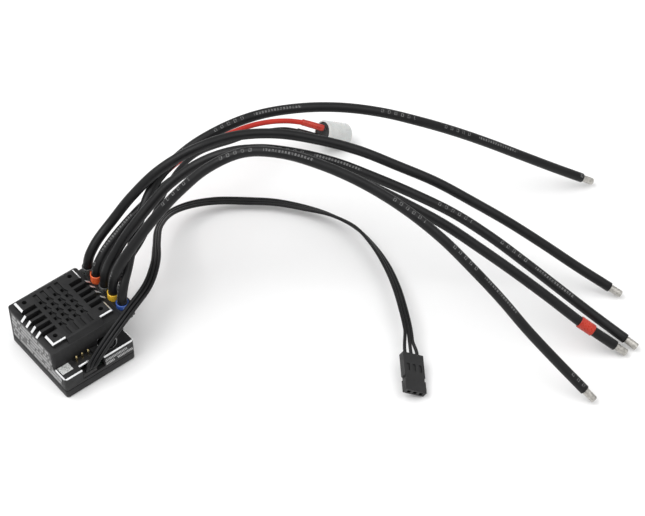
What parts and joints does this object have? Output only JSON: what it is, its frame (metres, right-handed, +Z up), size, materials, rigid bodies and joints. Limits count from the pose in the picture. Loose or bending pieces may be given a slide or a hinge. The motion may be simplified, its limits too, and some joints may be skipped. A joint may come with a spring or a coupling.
{
  "type": "electronic speed controller",
  "caption": "Sensorless speed controller for a small electric model car: finned black case, power wires, capacitor on its own wires, receiver lead and a set button.",
  "frame": {"origin": "centre of the footprint of the case and its terminal block, on the surface that the unit stands on", "axes": "+X from the case towards the power wires, +Y from the low deck with the fan port towards the tall block, +Z up"},
  "size_m": [0.2231, 0.1771, 0.0758],
  "materials": {
    "case_black": "satin black anodised aluminium with bright cut chamfers",
    "screw_black": "satin",
    "board_dark": "satin solder mask",
    "chip_black": "matte",
    "thermal_blue": "matte",
    "pin_gold": "polished",
    "plastic_black": "matte",
    "label_grey": "matte",
    "solder_tin": "dull tin",
    "collar_clear": "translucent shrink sleeve",
    "collar_orange": "shrink sleeve",
    "collar_yellow": "shrink sleeve",
    "collar_blue": "shrink sleeve",
    "silicone_black": "satin silicone",
    "sleeve_red": "shrink sleeve",
    "sleeve_black": "shrink sleeve",
    "can_metal": "satin",
    "can_sleeve": "pale grey film",
    "bung_rubber": "matte",
    "silicone_red": "satin silicone",
    "lead_black": "satin"
  },
  "bodies": {
    "case": {"bottom_case": "case_black", "top_case": "case_black", "case_screws": "screw_black", "control_board": "board_dark", "board_spacers": "pin_gold", "power_board": "board_dark", "microcontroller": "chip_black", "gate_drivers": "chip_black", "regulator_coil": "chip_black", "mosfets": "chip_black", "thermal_pad": "thermal_blue", "link_header": "plastic_black", "link_pins": "pin_gold", "fan_header": "plastic_black", "fan_pins": "pin_gold", "set_switch": "plastic_black", "lead_grommet": "bung_rubber", "deck_label": "label_grey", "side_label": "label_grey", "terminal_block": "plastic_black", "solder_posts": "solder_tin", "solder_fill": "solder_tin", "collar_negative": "collar_clear", "collar_phase_a": "collar_orange", "collar_positive": "collar_clear", "collar_phase_b": "collar_yellow", "collar_phase_c": "collar_blue", "wire_negative": "silicone_black", "wire_phase_a": "silicone_black", "wire_positive": "silicone_black", "wire_phase_b": "silicone_black", "wire_phase_c": "silicone_black", "tinned_negative": "solder_tin", "tinned_phase_a": "solder_tin", "tinned_positive": "solder_tin", "tinned_phase_b": "solder_tin", "tinned_phase_c": "solder_tin", "polarity_band": "sleeve_red", "capacitor_can": "can_metal", "capacitor_sleeve": "can_sleeve", "capacitor_bung": "bung_rubber", "capacitor_leads": "solder_tin", "shrink_red": "sleeve_red", "shrink_black": "sleeve_black", "capacitor_wire_red": "silicone_red", "capacitor_wire_black": "silicone_black", "receiver_lead": "lead_black", "receiver_plug": "plastic_black", "receiver_contacts": "pin_gold"},
    "button": {"set_button": "plastic_black"}
  },
  "joints": [
    {"name": "button_press", "type": "slide", "parent": "case", "child": "button", "axis": [0, 0, -1], "range_m": [0, 0.0004], "stiffness_N_per_m": 1000}
  ]
}
